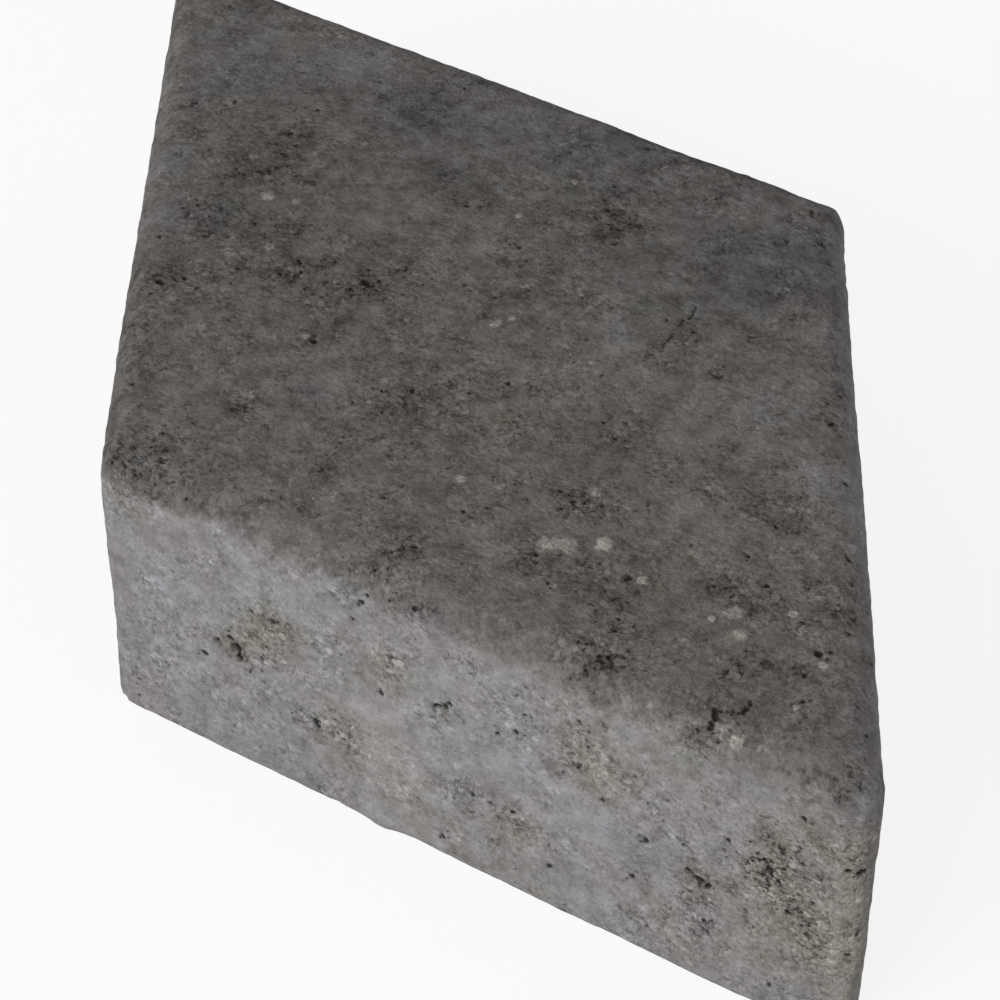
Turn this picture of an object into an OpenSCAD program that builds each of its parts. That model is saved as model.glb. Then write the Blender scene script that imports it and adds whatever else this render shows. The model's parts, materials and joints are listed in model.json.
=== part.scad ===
// Rhombus paver: one block of pressed concrete, four equal sides, 60 degrees at its sharp corners.
// It lies on its bed face. The origin is the middle of the bed face, +Z points up,
// and the front side runs along X, towards -Y.

/* [Plan] */
// Length of each side, between the sharp corners before they are rounded
side_length = 152; // [100:1:250]
// Angle between two sides at a sharp corner
sharp_angle = 60; // [50:1:90]
// Radius of the four upright corners
corner_radius = 5; // [1:0.5:12]

/* [Height] */
// Height from the bed face to the wearing face
thickness = 60; // [40:1:100]
// Radius that rounds the rim of the wearing face
rim_radius = 6; // [2:0.5:15]

/* [Hidden] */
$fn = 96;

// Width across the block, from one side square over to the opposite side
span = side_length * sin(sharp_angle);
// Side of the smaller rhombus whose corners are the centres of the upright corners
inner_side = side_length - 2 * corner_radius / sin(sharp_angle);
// The right, back, left and front sides, each by the direction that it faces
facing = [90 - sharp_angle, 90, 270 - sharp_angle, 270];
// Centres of the upright corners, each between a side and the next one
corner_centres = [inner_corner(1, 1), inner_corner(-1, 1), inner_corner(-1, -1), inner_corner(1, -1)];
// How far the rim cutter stands clear of the block
clear = 5;

function inner_corner(across, back) =
    inner_side / 2 * [across - back * cos(sharp_angle), back * sin(sharp_angle)];

function toward(direction, distance) = distance * [cos(direction), sin(direction)];

// Rhombus with rounded corners: straight sides that run tangent from circle to circle
module plan() {
    polygon([
        for (corner = [0:3], side = [corner, (corner + 1) % 4])
            corner_centres[corner] + toward(facing[side], corner_radius)
    ]);
    for (centre = corner_centres)
        translate(centre) circle(r = corner_radius);
}

// What the rounded rim lacks from a square edge, along the back side
module rim_cutter() {
    translate([-side_length, span / 2 - rim_radius, thickness - rim_radius])
        rotate([90, 0, 90])
            linear_extrude(2 * side_length)
                difference() {
                    square(rim_radius + clear);
                    circle(r = rim_radius);
                }
}

module paver() {
    color("#6f6b67")
        difference() {
            linear_extrude(thickness) plan();
            for (side = facing)
                rotate(side - 90) rim_cutter();
        }
}

paver();
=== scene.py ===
# Concrete paver: one worn diamond block of pressed concrete on a pale studio floor
import json
import math
import random
import bpy
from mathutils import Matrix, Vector, noise
from mathutils.kdtree import KDTree

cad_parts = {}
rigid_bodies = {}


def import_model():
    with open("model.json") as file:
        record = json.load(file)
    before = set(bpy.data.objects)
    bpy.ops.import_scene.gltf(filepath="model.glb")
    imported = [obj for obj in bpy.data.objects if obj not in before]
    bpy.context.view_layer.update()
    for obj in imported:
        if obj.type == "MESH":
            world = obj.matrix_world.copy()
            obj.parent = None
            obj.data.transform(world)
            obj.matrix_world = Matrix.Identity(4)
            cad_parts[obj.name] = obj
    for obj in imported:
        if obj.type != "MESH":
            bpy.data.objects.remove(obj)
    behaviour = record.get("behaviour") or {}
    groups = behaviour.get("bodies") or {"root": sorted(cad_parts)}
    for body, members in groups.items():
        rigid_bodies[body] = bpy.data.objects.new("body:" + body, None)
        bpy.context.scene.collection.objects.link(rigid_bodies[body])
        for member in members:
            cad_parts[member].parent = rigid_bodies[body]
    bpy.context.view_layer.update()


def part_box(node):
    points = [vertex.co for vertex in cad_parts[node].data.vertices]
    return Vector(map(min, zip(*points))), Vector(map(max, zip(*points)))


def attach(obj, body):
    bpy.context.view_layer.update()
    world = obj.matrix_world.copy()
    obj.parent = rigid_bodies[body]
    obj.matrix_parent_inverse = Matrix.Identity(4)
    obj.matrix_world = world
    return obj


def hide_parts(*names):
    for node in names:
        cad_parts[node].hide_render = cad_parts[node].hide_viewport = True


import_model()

mm = 0.001
low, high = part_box("paver")
sharpAngle = math.radians(60)
span = high.y - low.y                      # square across, from one side to the opposite one
thickness = high.z - low.z
side = span / math.sin(sharpAngle)         # length of each side
lean = span / math.tan(sharpAngle)         # how far the back side sits to the left of the front side
frontLeft = Vector((-(side - lean) / 2, -span / 2, 0))
toRight, toBack = Vector((side, 0, 0)), Vector((-lean, span, 0))
rightward = Vector((span, lean, 0)) / side
# where each side starts, where it runs and where it looks
uprightSides = {
    "front": (frontLeft, toRight, Vector((0, -1, 0))),
    "back": (frontLeft + toBack, toRight, Vector((0, 1, 0))),
    "left": (frontLeft, toBack, -rightward),
    "right": (frontLeft + toRight, toBack, rightward),
}
print("frame loaded: side", round(side / mm), "mm, thickness", round(thickness / mm), "mm")


def applyModifier(piece, kind, **settings):
    modifier = piece.modifiers.new(kind.title(), kind)
    for name, value in settings.items():
        setattr(modifier, name, value)
    bpy.context.view_layer.objects.active = piece
    bpy.ops.object.modifier_apply(modifier=modifier.name)


def clearFaces(piece):
    # leaves no face selected, so that some can be picked in code
    bpy.ops.object.select_all(action="DESELECT")
    bpy.context.view_layer.objects.active = piece
    bpy.ops.object.mode_set(mode="EDIT")
    bpy.ops.mesh.select_mode(type="FACE")
    bpy.ops.mesh.select_all(action="DESELECT")
    bpy.ops.object.mode_set(mode="OBJECT")


def topSpot(along, across):
    # a place on the wearing face, in shares of its length along the front and along the left side
    return frontLeft + toRight * along + toBack * across + Vector((0, 0, thickness))


def sideSpot(name, along, up):
    # a place on an upright side, in shares of its length and height
    start, run, _ = uprightSides[name]
    return start + run * along + Vector((0, 0, up * thickness))


block = {
    "cornerRadius": 5 * mm,
    "backRightRadius": 2.5 * mm,           # this upright is crisper than the others
    "rimRadius": 6 * mm,
    "roundSegments": 6,
    "voxel": 0.95 * mm,
    "bedKeep": 0.25,                       # share of the faces kept under the block
    "bedFacing": -0.8,                     # a face of the bed looks down at least this much
    "bedHeight": 1 * mm,                   # and lies lower than this
    "bedBorder": 2,                        # rows of faces along the edge of the bed that all stay
    # name, size of the lumps and how high they stand
    "relief": [("swell", 45 * mm, 0.6 * mm), ("lumps", 9 * mm, 0.22 * mm), ("crumbs", 2.4 * mm, 0.35 * mm)],
    "reliefDetail": 1,
    # swollen (plus) and worn (minus) places: side, along, up, reach and push outward in millimetres
    "pushes": [
        ("front", 0.28, 0.0, 14, 0.2), ("front", 0.50, 0.0, 14, 0.35), ("front", 0.63, 0.0, 10, 0.55),
        ("front", 0.80, 0.0, 16, 0.6), ("front", 0.97, 0.0, 10, 0.3), ("front", 0.345, 0.02, 4, 0.3),
        ("front", 0.378, 0.02, 2.6, 1.1), ("front", 0.40, 0.0, 3, 0.35),
        ("back", 0.25, 0.95, 25, -0.2), ("back", 0.90, 0.95, 8, 0.35), ("back", 0.947, 0.97, 3, -0.4),
        ("left", 0.0, 0.3, 14, -0.45), ("right", 0.97, 0.97, 6, 0.4),
    ],
    "pushEnd": 2.5,                        # a push stops this many reaches away, where it is too faint to see
}


def makeBlock():
    bpy.ops.object.select_all(action="DESELECT")
    bpy.ops.mesh.primitive_cube_add(size=1, location=(0, 0, thickness / 2), scale=(side, span, thickness))
    piece = bpy.context.object
    piece.name = "wornPaver"
    bpy.ops.object.transform_apply(location=True, rotation=True, scale=True)
    # slide the back side left and the front side right, so the square turns into a diamond
    for point in piece.data.vertices:
        point.co.x -= math.copysign(lean / 2, point.co.y)
    # bevel widths that give a true radius at the sharp uprights, the wide ones and the square rim
    sharpWidth = block["cornerRadius"] / math.tan(sharpAngle / 2)
    weights = piece.data.attributes.new("bevel_weight_edge", "FLOAT", "EDGE")
    for edge in piece.data.edges:
        a, b = (piece.data.vertices[i].co for i in edge.vertices)
        width = 0
        if abs(a.z - b.z) > thickness / 2 and a.x * a.y < 0:
            width = sharpWidth
        elif abs(a.z - b.z) > thickness / 2:
            radius = block["backRightRadius"] if a.y > 0 else block["cornerRadius"]
            width = radius * math.tan(sharpAngle / 2)
        elif a.z > thickness / 2:
            width = block["rimRadius"]
        weights.data[edge.index].value = width / sharpWidth
    applyModifier(piece, "BEVEL", limit_method="WEIGHT", offset_type="OFFSET", width=sharpWidth,
                  segments=block["roundSegments"], use_clamp_overlap=False)
    applyModifier(piece, "REMESH", mode="VOXEL", voxel_size=block["voxel"], use_smooth_shade=True)
    print("block:", len(piece.data.polygons), "faces")
    return piece


def thinBed(piece):
    # fewer faces under the block, where it lies flat
    clearFaces(piece)
    for face in piece.data.polygons:
        face.select = face.normal.z < block["bedFacing"] and face.center.z < block["bedHeight"]
    bpy.ops.object.mode_set(mode="EDIT")
    for _ in range(block["bedBorder"]):
        bpy.ops.mesh.select_less()
    bpy.ops.mesh.decimate(ratio=block["bedKeep"])
    bpy.ops.object.mode_set(mode="OBJECT")
    print("bed thinned:", len(piece.data.polygons), "faces")


def roughen(piece):
    for name, size, height in block["relief"]:
        texture = bpy.data.textures.new(name, "CLOUDS")
        texture.noise_scale = size
        texture.noise_depth = block["reliefDetail"]
        applyModifier(piece, "DISPLACE", texture=texture, texture_coords="LOCAL",
                      strength=height, mid_level=0.5)
    print("relief: done")


def pushPlaces(piece):
    # uneven wear, and the thin lip of concrete left along the bottom of the front
    for name, along, up, reach, push in block["pushes"]:
        place, outward = sideSpot(name, along, up), uprightSides[name][2]
        for point in piece.data.vertices:
            far = (point.co - place).length / (reach * mm)
            if far < block["pushEnd"]:
                point.co += outward * push * mm * math.exp(-far * far)
    print("pushed places:", len(block["pushes"]))


def flattenBed(piece):
    for point in piece.data.vertices:
        point.co.z = max(point.co.z, 0)


# places on a face are shares of its length and of its height or depth; sizes are in millimetres
marks = {
    # holes: along, up or across, width, depth
    "frontHoles": [
        # left end
        (0.173, 0.50, 1.8, 0.8), (0.18, 0.462, 2.9, 2.2), (0.184, 0.43, 2.0, 1.3), (0.215, 0.47, 1.3, 0.6),
        (0.135, 0.385, 1.8, 0.7), (0.20, 0.395, 1.1, 0.5), (0.225, 0.53, 1.0, 0.4), (0.235, 0.645, 1.7, 0.6),
        (0.256, 0.66, 1.2, 0.7), (0.205, 0.65, 1.3, 0.7),
        # left of the middle
        (0.291, 0.295, 2.1, 1.5), (0.27, 0.33, 1.0, 0.4), (0.329, 0.292, 1.0, 0.5), (0.355, 0.888, 1.7, 0.6),
        (0.345, 0.81, 1.0, 0.5), (0.379, 0.556, 1.7, 0.5),
        # middle
        (0.453, 0.612, 1.8, 1.4), (0.463, 0.622, 1.8, 1.3), (0.469, 0.64, 1.4, 1.0), (0.555, 0.65, 1.3, 0.8),
        (0.532, 0.61, 1.2, 0.7), (0.50, 0.31, 1.4, 0.5), (0.525, 0.31, 1.1, 0.6), (0.554, 0.315, 1.3, 0.7),
        (0.604, 0.163, 1.7, 0.6), (0.615, 0.57, 1.1, 0.5),
        # right of the middle
        (0.666, 0.535, 1.3, 0.7), (0.722, 0.454, 1.6, 0.6), (0.707, 0.283, 1.4, 0.8), (0.786, 0.40, 1.6, 1.0),
        (0.793, 0.394, 2.2, 1.8), (0.802, 0.388, 1.4, 0.9),
        # right end, where they crowd
        (0.819, 0.606, 1.5, 0.6), (0.858, 0.583, 1.4, 0.8), (0.869, 0.562, 1.9, 1.5),
        (0.873, 0.545, 1.4, 0.9), (0.861, 0.53, 1.5, 1.0), (0.882, 0.53, 1.6, 1.0), (0.884, 0.644, 1.3, 0.5),
        (0.907, 0.642, 1.4, 0.5), (0.897, 0.425, 1.6, 1.0), (0.904, 0.822, 1.5, 0.9), (0.962, 0.69, 1.5, 0.8),
        (0.982, 0.68, 1.8, 1.1), (0.996, 0.68, 1.5, 0.8), (0.993, 0.43, 1.5, 0.6), (0.974, 0.345, 1.5, 0.6),
        (0.923, 0.508, 1.1, 0.6),
        # single ones
        (0.802, 0.24, 1.4, 1.0), (0.805, 0.205, 1.3, 0.9), (0.884, 0.10, 1.3, 0.8), (0.462, 0.07, 1.5, 0.6),
        (0.56, 0.08, 1.1, 0.4), (0.768, 0.51, 1.2, 0.5), (0.03, 0.05, 1.2, 0.5), (0.09, 0.93, 1.0, 0.3),
    ],
    "topHoles": [
        (0.333, 0.485, 1.9, 1.0), (0.335, 0.51, 1.1, 0.5), (0.048, 0.335, 2.1, 1.0), (0.083, 0.36, 1.4, 0.6),
        (0.135, 0.60, 1.1, 0.5), (0.215, 0.69, 1.3, 0.6), (0.23, 0.67, 1.0, 0.5), (0.665, 0.80, 1.5, 0.7),
        (0.68, 0.77, 1.3, 0.6), (0.675, 0.74, 1.1, 0.5), (0.465, 0.70, 1.2, 0.6), (0.485, 0.71, 1.1, 0.5),
        (0.17, 0.175, 1.3, 0.6), (0.188, 0.187, 1.0, 0.5), (0.405, 0.33, 1.3, 0.6), (0.40, 0.305, 1.0, 0.4),
        (0.816, 0.573, 1.8, 0.3), (0.745, 0.635, 1.0, 0.4), (0.96, 0.567, 1.4, 0.7), (0.675, 0.39, 1.3, 0.5),
        (0.66, 0.41, 1.0, 0.5), (0.534, 0.41, 1.4, 0.7), (0.39, 0.03, 1.0, 0.4), (0.657, 0.04, 1.3, 0.6),
        (0.973, 0.355, 1.8, 0.45), (0.03, 0.012, 1.5, 0.3), (0.055, 0.0, 1.2, 0.3), (0.085, 0.04, 1.1, 0.5),
        (0.88, 0.355, 1.1, 0.5), (0.90, 0.86, 1.0, 0.4), (0.915, 0.87, 1.1, 0.5), (0.577, 0.15, 1.4, 0.6),
        (0.269, 0.344, 1.5, 0.9), (0.25, 0.43, 1.0, 0.5), (0.926, 0.186, 2.0, 1.1), (0.954, 0.95, 1.8, 0.4),
        (0.975, 0.265, 1.6, 0.4), (0.93, 0.01, 1.7, 0.3), (0.976, 0.48, 1.8, 0.5), (0.115, -0.008, 1.2, 0.55),
        (0.03, 0.145, 1.7, 0.5), (0.722, 0.955, 1.6, 0.5), (0.98, 0.63, 1.5, 0.4), (0.978, 0.865, 1.3, 0.35),
        (0.693, 0.177, 1.5, 0.7), (0.985, 0.105, 1.4, 0.35), (0.867, 0.256, 1.3, 0.8),
        (0.904, 0.105, 1.2, 0.6), (0.039, 0.417, 1.3, 0.6), (0.592, 0.114, 1.2, 0.5), (0.843, 0.29, 1.3, 0.5),
        (0.423, 0.081, 1.5, 0.6), (0.479, 0.166, 1.2, 0.5), (0.68, 0.107, 1.2, 0.45),
    ],
    # pale stones: along, across, width, lift
    "stones": [
        (0.587, 0.172, 3.5, 0.15), (0.603, 0.178, 3.8, 0.15), (0.617, 0.187, 5.0, 0.2),
        (0.662, 0.211, 4.0, 0.2), (0.71, 0.18, 2.4, 0.15), (0.65, 0.288, 2.9, 0.2), (0.823, 0.19, 3.8, 0.15),
        (0.83, 0.163, 3.3, 0.1), (0.795, 0.166, 1.9, 0.1), (0.897, 0.228, 2.1, 0.1), (0.901, 0.205, 2.2, 0.1),
        (0.93, 0.17, 2.0, 0.1), (0.185, 0.572, 3.5, 0.15), (0.225, 0.58, 2.2, 0.1), (0.155, 0.633, 2.4, 0.1),
        (0.54, 0.72, 2.0, 0.1), (0.617, 0.828, 2.0, 0.1), (0.515, 0.505, 2.5, 0.15), (0.535, 0.525, 1.8, 0.1),
        (0.19, 0.208, 3.6, 0.15), (0.26, 0.345, 1.9, 0.15), (0.475, 0.215, 2.4, 0.1),
        (0.193, 0.477, 3.0, 0.1), (0.813, -0.003, 2.8, 0.15), (0.37, 0.33, 1.4, 0.1), (0.894, 0.09, 1.9, 0.1),
    ],
    # a crooked crack by the front rim and a faint one further back
    # along, across, width and depth at each bend
    "cracks": [
        [
            (0.839, 0.07, 0.9, 0.6), (0.835, 0.059, 1.3, 0.8), (0.83, 0.048, 1.1, 0.6),
            (0.811, 0.041, 0.9, 0.35), (0.797, 0.036, 1.3, 0.9), (0.794, 0.022, 1.3, 0.9),
            (0.788, 0.014, 1.1, 0.8), (0.784, -0.002, 1.3, 0.9),
        ],
        [
            (0.786, 0.682, 0.9, 0.4), (0.777, 0.654, 1.1, 0.45), (0.769, 0.647, 1.1, 0.5),
            (0.758, 0.625, 0.7, 0.15), (0.752, 0.61, 1.1, 0.45), (0.741, 0.588, 1.0, 0.4),
            (0.735, 0.565, 0.7, 0.15), (0.728, 0.545, 0.9, 0.35),
        ],
    ],
    "crackStep": 0.8 * mm,
    "strayHoles": 60,                      # small ones at random places all over
    "strayWidth": (0.8, 1.3),
    "strayDepth": (0.1, 0.4),              # shares of the width
    "bedClear": 2 * mm,                    # none of them is lower than this
    "companions": 2,                       # smaller dabs beside each hole, so that none is round
    "companionAside": 0.5,                 # how far they stray, as a share of the hole's width
    "companionWidth": (0.35, 0.75),        # shares of the hole's own width and depth
    "companionDepth": (0.4, 0.9),
    "edgeWaves": [(0.8 * mm, 0.45), (0.35 * mm, 0.2)],       # size and strength, for a ragged edge
    "wallSlope": 1.8,                      # how steeply the wall of a hole goes down
    "fullShadeDepth": 0.8 * mm,                # a hole this deep gets full painted shade inside, a shallower one only some
    "refineCuts": 2,                       # cuts across the faces where a hole or stone goes
    "refineMargin": 0.6 * mm,
    "seed": 5,
}


def crackPlaces():
    # dabs close together along the bends, so that they join into one crooked line
    dabs = []
    for crack in marks["cracks"]:
        for start, end in zip(crack, crack[1:]):
            length = (topSpot(*end[:2]) - topSpot(*start[:2])).length
            steps = max(1, round(length / marks["crackStep"]))
            for step in range(steps):
                dabs.append([a + (b - a) * step / steps for a, b in zip(start, end)])
    return dabs


def strayPlaces(piece, dice):
    # small holes wherever the dice put them, but none on the bed
    corners = [point.co.copy() for point in piece.data.vertices if point.co.z > marks["bedClear"]]
    places = []
    for _ in range(marks["strayHoles"]):
        width = dice.uniform(*marks["strayWidth"]) * mm
        places.append((dice.choice(corners), width, width * dice.uniform(*marks["strayDepth"]), "hole"))
    return places


def companionPlaces(places, dice):
    beside = []
    for place, width, depth, kind in places * marks["companions"]:
        aside = Vector([dice.gauss(0, marks["companionAside"] * width) for _ in range(3)])
        width *= dice.uniform(*marks["companionWidth"])
        depth *= dice.uniform(*marks["companionDepth"])
        beside.append((place + aside, width, depth, kind))
    return beside


def markedPlaces(piece):
    # place, width, depth and kind of every hole and stone; a stone's depth is below zero, as it stands proud
    dice = random.Random(marks["seed"])
    places = [(sideSpot("front", a, b), w * mm, d * mm, "hole") for a, b, w, d in marks["frontHoles"]]
    places += [(topSpot(a, b), w * mm, d * mm, "hole") for a, b, w, d in marks["topHoles"]]
    places += strayPlaces(piece, dice)
    places += companionPlaces(places, dice)
    places += [(topSpot(a, b), w * mm, d * mm, "hole") for a, b, w, d in crackPlaces()]
    places += [(topSpot(a, b), w * mm, -h * mm, "stone") for a, b, w, h in marks["stones"]]
    return places


def pointTree(items):
    tree = KDTree(len(items))
    for index, place in enumerate(items):
        tree.insert(place, index)
    tree.balance()
    return tree


def refineAround(piece, places):
    # smaller faces where the holes and stones go
    clearFaces(piece)
    faces = piece.data.polygons
    tree = pointTree([face.center for face in faces])
    for place, width, _, _ in places:
        surface = tree.find(place)[0]
        for _, index, _ in tree.find_range(surface, width / 2 + marks["refineMargin"]):
            faces[index].select = True
    bpy.ops.object.mode_set(mode="EDIT")
    bpy.ops.mesh.subdivide(number_cuts=marks["refineCuts"])
    # the faces around them now have points along their edges, and are cut into well-shaped triangles
    bpy.ops.mesh.select_all(action="DESELECT")
    bpy.ops.mesh.select_face_by_sides(number=4, type="GREATER")
    bpy.ops.mesh.quads_convert_to_tris(ngon_method="BEAUTY")
    bpy.ops.object.mode_set(mode="OBJECT")
    print("refined:", len(piece.data.polygons), "faces")


def addLayer(piece, name, values):
    # a number for each point of the mesh, which the material reads by name
    layer = piece.data.attributes.new(name, "FLOAT", "POINT")
    layer.data.foreach_set("value", values)


def carve(piece, places):
    points = piece.data.vertices
    tree = pointTree([point.co for point in points])
    masks = {"hole": [-1.0] * len(points), "stone": [-1.0] * len(points)}
    pushes = [0.0] * len(points)
    for place, width, depth, kind in places:
        mask, surface = masks[kind], tree.find(place)[0]
        strength = min(1, abs(depth) / marks["fullShadeDepth"]) if kind == "hole" else 1
        for co, index, distance in tree.find_range(surface, width):
            wobble = 1
            for size, wave in marks["edgeWaves"]:
                wobble += wave * noise.noise(co / size)
            share = 1 - distance / (0.5 * width * wobble)
            mask[index] = max(mask[index], share * strength)
            push = depth * min(1, marks["wallSlope"] * max(0, share))
            if abs(push) > abs(pushes[index]):
                pushes[index] = push
    normals = [point.normal.copy() for point in points]
    for point, normal, push in zip(points, normals, pushes):
        point.co -= normal * push
    for name, mask in masks.items():
        addLayer(piece, name, mask)
    print("carved:", len(places), "holes and stones")


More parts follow.
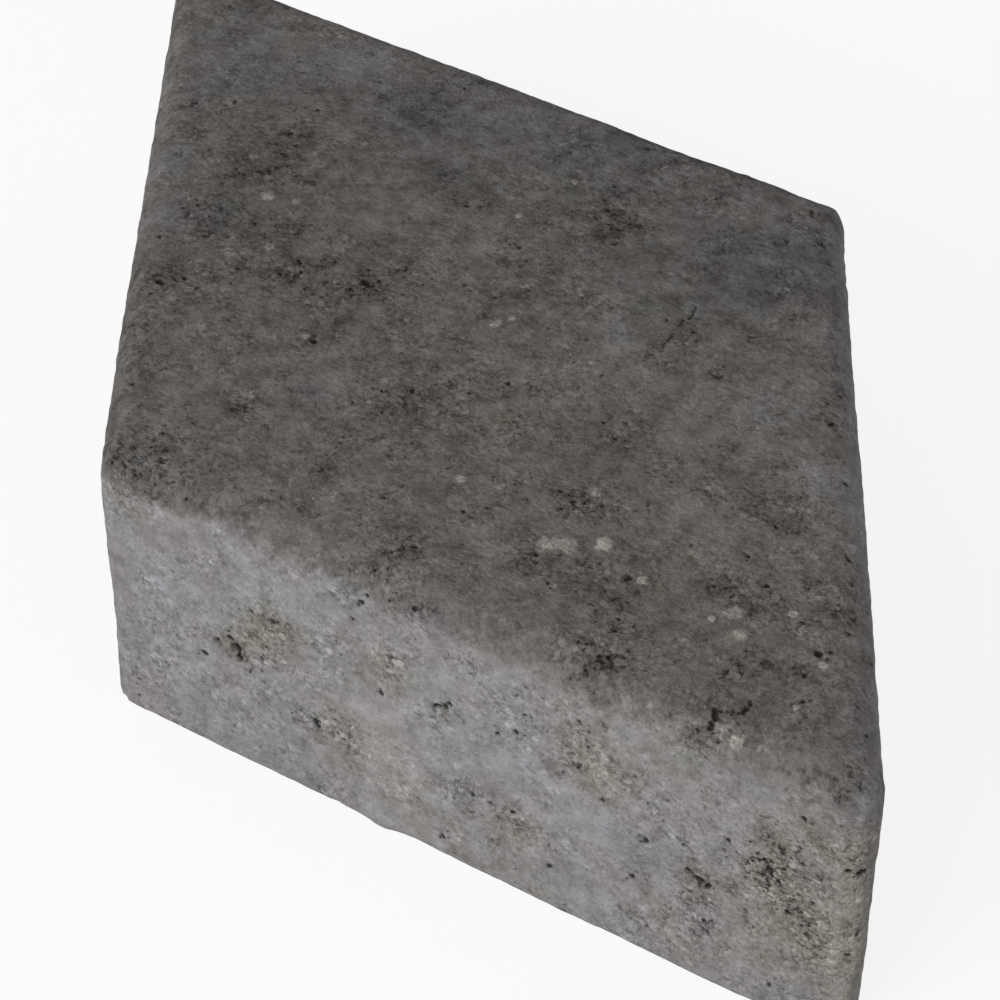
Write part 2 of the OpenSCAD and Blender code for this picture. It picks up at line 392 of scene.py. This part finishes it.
# clouded patches: along, up or across, radius in millimetres, lighter (plus) or darker,
# browner (plus) or bluer, and extra pores
patches = {
    "front": [
        # clouds
        (0.07, 0.60, 8, 0.3, -0.9, 0.0), (0.19, 0.87, 6, 0.9, -0.4, 0.0), (0.03, 0.83, 5, -0.7, 0.2, 0.4),
        (0.03, 0.32, 6, -0.1, -0.5, 0.1), (0.08, 0.38, 13, 0.3, -0.2, 0.0), (0.24, 0.64, 6, -0.8, 0.8, 0.5),
        (0.18, 0.47, 4, -0.3, 1.2, 0.6), (0.21, 0.55, 5, 0.0, 1.0, 0.4), (0.14, 0.57, 5, 0.6, -0.4, 0.0),
        (0.27, 0.77, 6, 0.5, -0.8, -0.1), (0.33, 0.90, 5, -0.3, -0.9, 0.2), (0.38, 0.68, 6, -0.2, 0.5, 0.3),
        (0.40, 0.42, 9, 0.8, 0.1, -0.2), (0.41, 0.25, 5, 0.5, 0.3, 0.0), (0.28, 0.31, 4, -0.9, 0.0, 0.6),
        (0.34, 0.29, 5, -0.9, 0.4, 0.5), (0.46, 0.61, 4, -0.5, 0.5, 0.4), (0.47, 0.74, 6, 0.3, 0.0, -0.1),
        (0.54, 0.64, 4, 0.0, -0.4, 0.1), (0.56, 0.48, 8, 0.6, -0.9, -0.2), (0.55, 0.30, 7, -0.7, 0.6, 0.35),
        (0.49, 0.33, 5, -0.6, 0.1, 0.3), (0.56, 0.21, 5, -0.1, 0.6, 0.2), (0.65, 0.71, 8, -0.3, 0.9, 0.25),
        (0.66, 0.59, 7, -0.2, 0.7, 0.25), (0.66, 0.42, 8, 0.6, -0.8, -0.2), (0.49, 0.55, 14, 0.5, -0.2, 0.0),
        (0.72, 0.38, 5, -0.2, -0.6, 0.3), (0.73, 0.87, 7, 0.0, -0.1, 0.0), (0.70, 0.78, 10, -0.3, 0.0, 0.0),
        (0.78, 0.95, 6, -1.7, 0.2, 0.3), (0.85, 0.87, 6, 0.0, -0.7, 0.0), (0.79, 0.40, 5, -1.9, 1.0, 0.7),
        (0.80, 0.25, 5, -0.3, -0.6, 0.4), (0.87, 0.57, 5, -0.9, 0.9, 0.4), (0.88, 0.67, 4, -0.6, 1.1, 0.4),
        (0.90, 0.48, 9, -0.4, 1.0, 0.4), (0.93, 0.33, 12, -0.7, 1.0, 0.4), (0.98, 0.70, 9, -0.4, 1.2, 0.4),
        # the four at along 1.00 are mostly a painted highlight on the rounded right upright, which the key
        # light leaves darker
        (1.00, 0.15, 6, 2.3, 1.2, 0.0), (1.00, 0.35, 6, 2.2, 1.2, 0.0), (1.00, 0.55, 6, 0.7, 1.2, 0.0),
        (1.00, 0.78, 6, 0.1, 1.0, 0.0), (0.90, 0.80, 8, -0.9, 0.8, 0.0), (0.87, 0.18, 12, -0.3, 0.6, 0.4),
        (0.90, 0.10, 10, 0.2, -0.5, -0.1), (0.15, 0.20, 12, 0.3, -0.6, 0.1), (0.25, 0.10, 9, -0.2, -0.4, 0.0),
        (0.65, 0.15, 8, 0.3, -0.4, 0.0), (0.76, 0.17, 8, -0.2, 0.3, 0.2), (0.975, 0.95, 6, -2.7, 0.0, 0.0),
        # small spots
        (0.73, 0.09, 4, -1.2, 0.0, 0.2), (0.31, 0.63, 4, -0.9, 0.0, 0.2), (0.88, 0.48, 3, -1.1, 0.0, 0.3),
        (0.61, 0.61, 4, -0.6, 0.0, 0.0), (0.95, 0.81, 4, -0.8, 0.0, 0.0), (0.435, 0.93, 4, -1.6, 0.0, 0.0),
        (0.39, 0.97, 3, -1.2, 0.0, 0.0), (0.555, 0.94, 4, -0.7, 0.0, 0.0), (0.02, 0.50, 4, -0.8, 0.0, 0.1),
        (0.617, 0.69, 3, -0.8, 0.0, 0.0), (0.79, 0.80, 5, -0.6, 0.0, 0.0), (0.27, 0.05, 4, -0.6, 0.0, 0.0),
        (0.235, 0.60, 3, -0.8, 0.0, 0.2), (0.015, 0.89, 3, 1.0, 0.0, 0.0), (0.04, 0.05, 4, 0.6, 0.0, 0.0),
        (0.53, 0.75, 4, 0.6, 0.0, 0.0), (0.785, 0.29, 3, 0.8, 0.0, 0.0), (0.88, 0.20, 3, 0.8, 0.0, 0.0),
    ],
    "top": [
        # broad clouds
        (0.12, 0.85, 16, 0.2, -0.6, -0.1), (0.40, 0.85, 20, -0.4, -0.8, -0.3),
        (0.65, 0.92, 20, -0.4, -0.8, -0.3), (0.90, 0.85, 22, -0.5, -0.9, -0.25),
        (0.15, 0.15, 18, 0.1, 0.2, 0.0), (0.50, 0.35, 28, 0.1, 0.6, 0.0), (0.80, 0.20, 22, 0.0, 0.7, 0.1),
        (0.75, 0.47, 14, 0.3, 0.1, 0.0),
        # blotches
        (0.29, 0.91, 7, 1.3, -1.0, -0.2), (0.41, 0.85, 6, -0.5, 0.0, 0.1), (0.54, 0.90, 4, 0.0, -0.4, 0.0),
        (0.67, 0.78, 6, -1.5, 0.8, 0.5), (0.43, 0.74, 4, -0.6, 0.0, 0.3), (0.50, 0.73, 4, -0.5, 0.0, 0.3),
        (0.88, 0.90, 4, 0.8, 0.0, 0.0), (0.70, 0.67, 6, 0.6, -0.4, -0.1), (0.02, 0.66, 6, 0.3, -0.5, 0.0),
        (0.03, 0.55, 8, 0.9, -0.9, 0.0), (0.04, 0.45, 7, 0.8, -0.8, 0.0), (0.20, 0.69, 8, -0.8, 0.2, 0.3),
        (0.15, 0.60, 7, -0.9, 0.2, 0.3), (0.12, 0.50, 7, -0.7, -0.5, 0.3), (0.20, 0.51, 6, -0.6, 0.4, 0.4),
        (0.23, 0.45, 6, -1.0, 0.6, 0.2), (0.06, 0.35, 5, -0.8, 0.9, 0.5), (0.05, 0.02, 6, -0.9, -0.5, 0.5),
        (0.17, 0.18, 4, -2.0, 0.0, 0.5), (0.28, 0.27, 9, 0.6, -0.8, -0.2), (0.36, 0.65, 7, 1.5, 0.8, -0.3),
        (0.45, 0.59, 9, 0.4, -0.1, -0.1), (0.36, 0.56, 5, 0.0, 0.1, 0.1), (0.33, 0.48, 4, -1.8, 0.4, 0.7),
        (0.28, 0.37, 5, -0.7, 0.6, 0.3), (0.55, 0.59, 6, -0.5, 0.5, 0.2), (0.68, 0.57, 7, 0.7, -1.1, -0.2),
        (0.75, 0.60, 5, -0.5, 1.0, 0.3), (0.39, 0.30, 7, -0.6, 0.4, 0.5), (0.42, 0.07, 4, -1.0, -0.2, 0.5),
        (0.57, 0.14, 5, -0.6, 0.5, 0.5), (0.66, 0.13, 7, -0.3, 0.4, 0.3), (0.87, 0.55, 8, 0.9, -1.0, 0.0),
        (0.94, 0.45, 7, 1.0, -0.8, 0.0), (0.69, 0.40, 5, -0.6, 0.3, 0.5), (0.88, 0.39, 7, -0.5, 0.5, 0.4),
        (0.77, 0.30, 9, 1.5, 0.3, -0.3), (0.64, 0.27, 5, -0.8, 0.6, 0.5), (0.85, 0.24, 7, -0.8, -0.2, 0.5),
        (0.93, 0.25, 6, -0.1, 0.2, 0.3), (0.66, 0.04, 5, -1.2, -0.2, 0.3), (0.84, 0.11, 5, -1.0, 0.2, 0.3),
        (0.81, 0.05, 5, -0.5, 0.0, 0.1),
        # more broad clouds
        (0.31, 0.90, 13, 0.3, -0.2, 0.0), (0.50, 0.92, 13, 0.3, -0.2, 0.0), (0.31, 0.10, 14, 0.6, 0.0, 0.0),
        (0.52, 0.10, 10, 0.4, 0.0, 0.0), (0.88, 0.29, 14, 0.6, 0.0, 0.0), (0.90, 0.45, 12, 0.2, 0.0, 0.0),
        (0.68, 0.29, 12, 0.2, 0.0, 0.0), (0.10, 0.43, 12, -0.3, 0.0, 0.0), (0.12, 0.74, 11, -0.4, 0.0, 0.0),
        (0.11, 0.78, 14, 0.0, -0.7, 0.0),
        # right end: lighter along the right rim, a painted highlight on its shaded rounding, and a few more
        (0.99, 0.12, 7, 0.6, -0.4, 0.0), (0.99, 0.48, 9, 0.8, -0.3, 0.0), (0.99, 0.70, 9, 0.2, -0.6, 0.0),
        (0.35, 0.70, 18, 0.0, 0.0, -0.4), (0.75, 0.70, 18, 0.0, 0.0, -0.35),
        (0.815, 0.575, 3, -1.3, 0.0, 0.5), (0.08, 0.36, 20, -0.35, 0.0, 0.0),
        (0.35, 0.66, 16, -0.25, 0.0, 0.0),
        # small spots
        (0.07, 0.01, 5, -1.0, 0.0, 0.0), (0.645, 0.0, 6, -1.1, 0.0, 0.0), (0.845, 0.01, 4, -1.0, 0.0, 0.0),
        (0.82, 0.28, 3, 1.1, 0.0, 0.0), (0.22, 0.09, 5, 1.0, 0.0, 0.0), (0.775, 0.025, 4, 0.9, 0.0, 0.0),
        (0.95, 0.375, 4, 0.9, 0.0, 0.0), (0.18, 0.34, 5, -0.8, 0.0, 0.1), (0.53, 0.205, 3, 0.9, 0.0, 0.0),
        (0.17, 0.42, 5, -0.9, 0.0, 0.1), (0.28, 0.41, 5, -0.8, 0.0, 0.1), (0.355, 0.85, 7, -0.8, 0.0, 0.0),
        (0.455, 0.95, 6, -0.7, 0.0, 0.0), (0.86, 0.955, 5, -0.6, 0.0, 0.0), (0.02, 0.32, 5, 0.8, 0.0, 0.0),
        (0.17, 0.04, 4, 0.6, 0.0, 0.0), (0.045, 0.07, 4, 0.9, 0.0, 0.0), (0.935, 0.04, 4, 0.6, 0.0, 0.0),
        (0.24, 0.95, 5, 0.8, 0.0, 0.0), (0.98, 0.61, 5, 0.6, 0.0, 0.0), (0.585, 0.065, 4, 0.6, 0.0, 0.0),
        (0.635, 0.95, 5, 0.5, 0.0, 0.0), (0.085, 0.46, 4, 0.6, 0.0, 0.0), (0.76, 0.43, 2.5, 1.3, 0.0, -0.1),
    ],
    "fade": 1.2,                           # how fast a patch fades with the distance
    "end": 1.6,                            # it ends this many radii away
    "strayPatches": 14,                    # on each of the other sides, wherever the dice put them
    "strayAlong": (0.12, 0.9),
    "strayUp": (0.05, 0.8),
    "strayReach": (4, 10),
    "strayShade": (-1.2, 0.8),
    "strayWarmth": -0.8,                   # for each step of shade: dark ones are brown and pale ones cool
    "strayPores": -0.6,                    # and only the dark ones are porous
    "seed": 3,
}


def strayPatches():
    dice = random.Random(patches["seed"])
    spots = []
    for name in ("back", "left", "right"):
        for _ in range(patches["strayPatches"]):
            place = sideSpot(name, dice.uniform(*patches["strayAlong"]), dice.uniform(*patches["strayUp"]))
            radius = dice.uniform(*patches["strayReach"]) * mm
            shade = dice.uniform(*patches["strayShade"])
            warmth, pores = patches["strayWarmth"] * shade, max(0, patches["strayPores"] * shade)
            spots.append((place, radius, (shade, warmth, pores)))
    return spots


def paintPatches(piece):
    points = piece.data.vertices
    tree = pointTree([point.co for point in points])
    layers = {name: [0.0] * len(points) for name in ("shade", "warmth", "pores")}
    spots = [(sideSpot("front", a, b), r * mm, v) for a, b, r, *v in patches["front"]]
    spots += [(topSpot(a, b), r * mm, v) for a, b, r, *v in patches["top"]]
    spots += strayPatches()
    for place, radius, values in spots:
        for _, index, distance in tree.find_range(place, patches["end"] * radius):
            fade = math.exp(-patches["fade"] * (distance / radius) ** 2)
            for layer, value in zip(layers.values(), values):
                layer[index] += fade * value
    for name, layer in layers.items():
        addLayer(piece, name, layer)
    print("patches:", len(spots))


paver = makeBlock()
thinBed(paver)
roughen(paver)
pushPlaces(paver)
marked = markedPlaces(paver)
refineAround(paver, marked)
carve(paver, marked)
flattenBed(paver)
paintPatches(paver)
paver.data.shade_smooth()
print("paver:", sum(len(face.vertices) - 2 for face in paver.data.polygons), "triangles")


def addNode(tree, kind, feeds=None, **settings):
    made = tree.nodes.new("ShaderNode" + kind)
    for name, value in settings.items():
        setattr(made, name, value)
    for socket, value in (feeds or {}).items():
        if isinstance(value, bpy.types.NodeSocket):
            tree.links.new(value, made.inputs[socket])
        else:
            made.inputs[socket].default_value = value
    return made


def calc(tree, operation, *values):
    return addNode(tree, "Math", dict(enumerate(values)), operation=operation).outputs[0]


def remap(tree, value, start, end, toStart=0.0, toEnd=1.0):
    feeds = {"Value": value, "From Min": start, "From Max": end, "To Min": toStart, "To Max": toEnd}
    return addNode(tree, "MapRange", feeds, interpolation_type="SMOOTHSTEP").outputs[0]


def blendColours(tree, share, first, second, mode="MIX"):
    # sockets 6 and 7 of a mix take its two colours, and 2 gives the result
    mix = addNode(tree, "Mix", {0: share, 6: first, 7: second}, data_type="RGBA", blend_type=mode)
    return mix.outputs[2]


def scaled(tree, vector, factor):
    return addNode(tree, "VectorMath", {0: vector, "Scale": factor}, operation="SCALE").outputs[0]


def sizedNoise(tree, vector, size, detail, roughness):
    # noise around zero, of lumps this many millimetres wide
    scale = calc(tree, "DIVIDE", 1.0, size)
    feeds = {"Vector": vector, "Scale": scale, "Detail": detail, "Roughness": roughness}
    cloud = addNode(tree, "TexNoise", feeds)
    return calc(tree, "SUBTRACT", cloud.outputs["Fac"], 0.5)


def newGroup(name, inputs, outputs):
    # an input with no number of its own is a vector
    group = bpy.data.node_groups.new(name, "ShaderNodeTree")
    for label, start in inputs.items():
        kind = "NodeSocketVector" if start is None else "NodeSocketFloat"
        socket = group.interface.new_socket(name=label, in_out="INPUT", socket_type=kind)
        if start is not None:
            socket.default_value = start
    for label in outputs:
        group.interface.new_socket(name=label, in_out="OUTPUT", socket_type="NodeSocketFloat")
    source, result = group.nodes.new("NodeGroupInput"), group.nodes.new("NodeGroupOutput")
    return group, source.outputs, result.inputs


grain = {
    "size": 0.7,                           # size and rarity for a use that sets none of its own
    "rarity": 3.0,
    "crown": 0.6,                          # how much a grain falls away from its middle to its edge
    "gap": (0.45, 0.75),                   # where the gap around a grain starts and where it is deepest
}


def makeSandGrain():
    # crushed grains: most are plain, a few are much darker or paler than the rest
    sockets = {"Vector": None, "Grain Size": grain["size"], "Rarity": grain["rarity"]}
    group, given, result = newGroup("sandGrain", sockets, ["Tone", "Height", "Gap"])
    scale = calc(group, "DIVIDE", 1.0, given["Grain Size"])
    cells = addNode(group, "TexVoronoi", {"Vector": given["Vector"], "Scale": scale}).outputs
    pick = addNode(group, "SeparateColor", {0: cells["Color"]}).outputs
    odd = calc(group, "MULTIPLY_ADD", pick[0], 2.0, -1.0)
    size = calc(group, "POWER", calc(group, "ABSOLUTE", odd), given["Rarity"])
    tone = calc(group, "MULTIPLY", size, calc(group, "SIGN", odd))
    height = calc(group, "MULTIPLY_ADD", cells["Distance"], -grain["crown"], pick[1])
    # the gap around each grain, which the concrete darkens as painted shade
    gap = remap(group, cells["Distance"], *grain["gap"])
    group.links.new(tone, result["Tone"])
    group.links.new(height, result["Height"])
    group.links.new(gap, result["Gap"])
    return group


# the darker colour of the top, which ends partway down the rim; heights in millimetres
darkTop = {
    "edgeHeight": 55.2,
    "softnessLeft": 1.6,                   # crisp at the left, soft at the right
    "softnessRight": 4.0,
    "softnessFrom": -30.0,                 # from here to there along the front, measured from the middle
    "softnessTo": 60.0,
    "raggedness": 9.0,
    "raggedNoise": (12.0, 3.0, 0.75),      # size, detail, roughness
    "rightRimPaintedLight": 4.2,                    # painted highlight: how far up the lighter side colour climbs along the right rim
    "rimLightWidth": 8.0,                       # and how far in from that rim
}


def makeDarkTopMask():
    sockets = {
        "Vector": None,
        "Edge Height": darkTop["edgeHeight"],
        "Softness Left": darkTop["softnessLeft"],
        "Softness Right": darkTop["softnessRight"],
        "Raggedness": darkTop["raggedness"],
        "Right Rim Painted Light": darkTop["rightRimPaintedLight"],
    }
    group, given, result = newGroup("darkTopMask", sockets, ["Mask"])
    x, _, z = addNode(group, "SeparateXYZ", {0: given["Vector"]}).outputs
    softness = remap(group, x, darkTop["softnessFrom"], darkTop["softnessTo"],
                     given["Softness Left"], given["Softness Right"])
    broad = sizedNoise(group, given["Vector"], *darkTop["raggedNoise"])
    shifted = calc(group, "MULTIPLY_ADD", broad, given["Raggedness"], z)
    toRim = addNode(group, "VectorMath", {0: given["Vector"], 1: rightward}, operation="DOT_PRODUCT")
    rim = span / 2 / mm
    # painted highlight: near the right rim the lighter side colour climbs higher up the rounding
    rimLight = remap(group, toRim.outputs["Value"], rim - darkTop["rimLightWidth"], rim, 0.0, given["Right Rim Painted Light"])
    edge = calc(group, "ADD", given["Edge Height"], rimLight)
    start = calc(group, "SUBTRACT", edge, softness)
    end = calc(group, "ADD", edge, softness)
    group.links.new(remap(group, shifted, start, end), result["Mask"])
    return group


finish = {
    "topColour": (0.131, 0.1222, 0.1138, 1),
    "sideColour": (0.213, 0.208, 0.203, 1),
    "brownTint": (1.035, 0.993, 0.887, 1),
    "coolTint": (0.945, 0.996, 1.045, 1),
    "rosyTint": (1.015, 0.975, 1.005, 1),
    "stoneColour": (0.262, 0.249, 0.223, 1),
    # painted shade for the inside of holes and cracks
    "holeShadeColour": (0.03, 0.0275, 0.025, 1),
    "roughness": 0.9,
    "specular": 0.2,
    # clouds: size in millimetres, detail, roughness
    "wideNoise": (24.0, 3.0, 0.65),
    "blotchNoise": (5.0, 4.0, 0.8),
    "rosyNoise": (15.0, 3.0, 0.7),
    "dustNoise": (0.9, 1.3, 0.6),
    "clusterNoise": (9.0, 2.0, 0.6),
    # grains: size in millimetres, and how rare the odd ones are
    "sand": (0.5, 1.5),
    "grit": (1.1, 5.0),
    "pits": (0.6, 9.0),
    "bendAmount": 0.8,                     # how far the grains are pulled out of shape, in millimetres
    "bendScale": 1.0,
    "bendDetail": 1.0,
    # where the painted marks start and where they are full
    "holeEdge": (0.05, 0.4),
    "stoneEdge": (0.0, 0.5),
    "stoneRaggedness": 0.8,
    # browner above zero and bluer below
    "castFromWide": 1.5,
    "castFromBlotches": -2.5,
    "castRange": 1.2,
    "rosyRange": 0.15,
    # how much each part darkens or lightens the side and the wearing face
    "patchContrast": (0.17, 0.27),
    "wideContrast": (0.3, 0.9),
    "blotchContrast": (1.7, 2.5),
    "grainContrast": (0.72, 0.85),
    "gapPaintedShade": (-0.3, -0.2),
    # and how much each kind of grain adds
    "sandTone": 0.2,
    "gritTone": 0.4,
    "darkestGrit": -0.5,
    "dustTone": 0.5,
    "pitShadeTone": 0.4,
    # grains stand out more in porous places
    "grainsFromPores": 1.3,
    "grainsFromClusters": 4.5,
    "leastGrains": 0.25,
    # height of the relief that is too fine for the mesh, in millimetres
    "sandHeight": 0.06,
    "grainHeight": 0.7,
    "gapHeight": -0.25,
}


def makeConcrete():
    look = bpy.data.materials.new("concrete")
    look.use_nodes = True
    tree = look.node_tree
    shader = tree.nodes["Principled BSDF"]
    shader.inputs["Specular IOR Level"].default_value = finish["specular"]
    shader.inputs["Roughness"].default_value = finish["roughness"]
    inMm = scaled(tree, addNode(tree, "TexCoord").outputs["Object"], 1 / mm)

    def painted(name):
        return addNode(tree, "Attribute", attribute_name=name).outputs["Fac"]

    topMask = addNode(tree, "Group", {"Vector": inMm}, node_tree=makeDarkTopMask()).outputs["Mask"]

    def sideToTop(name):
        return remap(tree, topMask, 0.0, 1.0, *finish[name])

    # grains, on coordinates that are bent so that none has a straight edge
    bendFeeds = {"Vector": inMm, "Scale": finish["bendScale"], "Detail": finish["bendDetail"]}
    bend = addNode(tree, "TexNoise", bendFeeds).outputs["Color"]
    bend = scaled(tree, bend, finish["bendAmount"])
    bent = addNode(tree, "VectorMath", {0: inMm, 1: bend}, operation="ADD").outputs[0]
    sandGrain = makeSandGrain()

    def grains(name):
        size, rarity = finish[name]
        feeds = {"Vector": bent, "Grain Size": size, "Rarity": rarity}
        return addNode(tree, "Group", feeds, node_tree=sandGrain).outputs

    sand, grit, pits = grains("sand"), grains("grit"), grains("pits")
    wide = sizedNoise(tree, inMm, *finish["wideNoise"])
    blotch = sizedNoise(tree, inMm, *finish["blotchNoise"])
    dust = sizedNoise(tree, inMm, *finish["dustNoise"])
    hole = remap(tree, painted("hole"), *finish["holeEdge"])
    stone = calc(tree, "MULTIPLY_ADD", blotch, finish["stoneRaggedness"], painted("stone"))
    stone = remap(tree, stone, *finish["stoneEdge"])

    # colour: side against top, then browner and bluer clouds
    colour = blendColours(tree, topMask, finish["sideColour"], finish["topColour"])
    cast = calc(tree, "MULTIPLY_ADD", wide, finish["castFromWide"], painted("warmth"))
    cast = calc(tree, "MULTIPLY_ADD", blotch, finish["castFromBlotches"], cast)
    brown = remap(tree, cast, 0.0, finish["castRange"])
    colour = blendColours(tree, brown, colour, finish["brownTint"], "MULTIPLY")
    cool = remap(tree, cast, 0.0, -finish["castRange"])
    colour = blendColours(tree, cool, colour, finish["coolTint"], "MULTIPLY")
    rosy = sizedNoise(tree, inMm, *finish["rosyNoise"])
    rosy = remap(tree, rosy, -finish["rosyRange"], finish["rosyRange"])
    colour = blendColours(tree, rosy, colour, finish["rosyTint"], "MULTIPLY")
    colour = blendColours(tree, stone, colour, finish["stoneColour"])

    # tone: one grey that darkens and lightens the colour
    tone = calc(tree, "MULTIPLY_ADD", painted("shade"), sideToTop("patchContrast"), 1.0)
    tone = calc(tree, "MULTIPLY_ADD", wide, sideToTop("wideContrast"), tone)
    tone = calc(tree, "MULTIPLY_ADD", blotch, sideToTop("blotchContrast"), tone)
    coarse = calc(tree, "MAXIMUM", grit["Tone"], finish["darkestGrit"])
    fine = calc(tree, "MULTIPLY", sand["Tone"], finish["sandTone"])
    specks = calc(tree, "MULTIPLY_ADD", coarse, finish["gritTone"], fine)
    specks = calc(tree, "MULTIPLY_ADD", dust, finish["dustTone"], specks)
    # painted shade: rare dark specks standing in for tiny pits too small for the mesh
    pitShade = calc(tree, "MINIMUM", pits["Tone"], 0.0)
    specks = calc(tree, "MULTIPLY_ADD", pitShade, finish["pitShadeTone"], specks)
    crowd = calc(tree, "MULTIPLY_ADD", painted("pores"), finish["grainsFromPores"], 1.0)
    cluster = sizedNoise(tree, inMm, *finish["clusterNoise"])
    crowd = calc(tree, "MULTIPLY_ADD", cluster, finish["grainsFromClusters"], crowd)
    crowd = calc(tree, "MAXIMUM", crowd, finish["leastGrains"])
    strength = calc(tree, "MULTIPLY", crowd, sideToTop("grainContrast"))
    tone = calc(tree, "MULTIPLY_ADD", specks, strength, tone)
    # painted shade in the gaps between grains, strongest in porous places; the bump below also lowers them
    gaps = calc(tree, "MULTIPLY", grit["Gap"], calc(tree, "MAXIMUM", painted("pores"), 0.0))
    tone = calc(tree, "MULTIPLY_ADD", gaps, sideToTop("gapPaintedShade"), tone)
    grey = addNode(tree, "CombineColor", {0: tone, 1: tone, 2: tone}).outputs[0]
    colour = blendColours(tree, 1.0, colour, grey, "MULTIPLY")
    # painted shade inside the holes and cracks, darker the deeper they are
    colour = blendColours(tree, hole, colour, finish["holeShadeColour"])
    tree.links.new(colour, shader.inputs["Base Color"])

    # relief too fine for the mesh
    height = calc(tree, "MULTIPLY", sand["Height"], finish["sandHeight"])
    height = calc(tree, "MULTIPLY_ADD", specks, finish["grainHeight"], height)
    height = calc(tree, "MULTIPLY_ADD", gaps, finish["gapHeight"], height)
    bump = addNode(tree, "Bump", {"Height": height, "Distance": mm, "Strength": 1.0})
    tree.links.new(bump.outputs[0], shader.inputs["Normal"])
    print("concrete: ready")
    return look


paver.data.materials.append(makeConcrete())

floorSet = {
    "size": 6,
    "colour": (0.95, 0.95, 0.95, 1),
    "roughness": 0.9,
    "whiteness": 0.85,                     # how much of plain white covers the shaded floor
}


def makeFloor():
    bpy.ops.object.select_all(action="DESELECT")
    bpy.ops.mesh.primitive_plane_add(size=floorSet["size"], location=(0, 0, 0))
    floor = bpy.context.object
    floor.name = "studioFloor"
    look = bpy.data.materials.new("paleFloor")
    look.use_nodes = True
    tree = look.node_tree
    shader = tree.nodes["Principled BSDF"]
    shader.inputs["Base Color"].default_value = floorSet["colour"]
    shader.inputs["Roughness"].default_value = floorSet["roughness"]
    glow = tree.nodes.new("ShaderNodeEmission")
    path = addNode(tree, "LightPath").outputs
    # seen directly, in a mirror or through glass, the floor is mostly plain white
    seen = calc(tree, "MAXIMUM", path["Is Camera Ray"], path["Is Glossy Ray"])
    seen = calc(tree, "MAXIMUM", seen, path["Is Transmission Ray"])
    mix = tree.nodes.new("ShaderNodeMixShader")
    tree.links.new(calc(tree, "MULTIPLY", seen, floorSet["whiteness"]), mix.inputs[0])
    tree.links.new(shader.outputs[0], mix.inputs[1])
    tree.links.new(glow.outputs[0], mix.inputs[2])
    tree.links.new(mix.outputs[0], tree.nodes["Material Output"].inputs["Surface"])
    floor.data.materials.append(look)


cameraSet = {
    "target": (10.0 * mm, -11.0 * mm, 30 * mm),
    "azimuth": 30.79,
    "elevation": 43.43,
    "roll": 0.87,
    "distance": 617.5 * mm,
    "lens": 122.27,
    "nearest": 10 * mm,
}


def fromAngles(azimuth, elevation):
    turn, tilt = math.radians(azimuth), math.radians(elevation)
    return Vector((math.sin(turn) * math.cos(tilt), -math.cos(turn) * math.cos(tilt), math.sin(tilt)))


def makeCamera():
    away = fromAngles(cameraSet["azimuth"], cameraSet["elevation"])
    bpy.ops.object.camera_add(location=Vector(cameraSet["target"]) + away * cameraSet["distance"])
    camera = bpy.context.object
    camera.data.lens = cameraSet["lens"]
    camera.data.clip_start = cameraSet["nearest"]
    camera.rotation_euler = away.to_track_quat("Z", "Y").to_euler()
    camera.rotation_euler.rotate_axis("Z", math.radians(cameraSet["roll"]))
    bpy.context.scene.camera = camera


lightSet = {
    "sky": 0.45,
    "skyColour": (1, 1, 1, 1),
    "keyPower": 19.7,
    "keySize": 1.2,
    "keyDistance": 1.6,
    "keyAzimuth": -12,
    "keyElevation": 30,
}


def makeLight():
    world = bpy.data.worlds.new("studio")
    bpy.context.scene.world = world
    world.use_nodes = True
    sky = world.node_tree.nodes["Background"].inputs
    sky["Color"].default_value = lightSet["skyColour"]
    sky["Strength"].default_value = lightSet["sky"]
    toLight = fromAngles(lightSet["keyAzimuth"], lightSet["keyElevation"])
    bpy.ops.object.light_add(type="AREA", location=toLight * lightSet["keyDistance"])
    key = bpy.context.object
    key.data.shape = "DISK"
    key.data.size = lightSet["keySize"]
    key.data.energy = lightSet["keyPower"]
    key.rotation_euler = toLight.to_track_quat("Z", "Y").to_euler()


makeFloor()
makeCamera()
makeLight()
bpy.context.scene.view_settings.view_transform = "Standard"
print("floor, camera and light: ready")

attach(paver, "root")
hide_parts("paver")
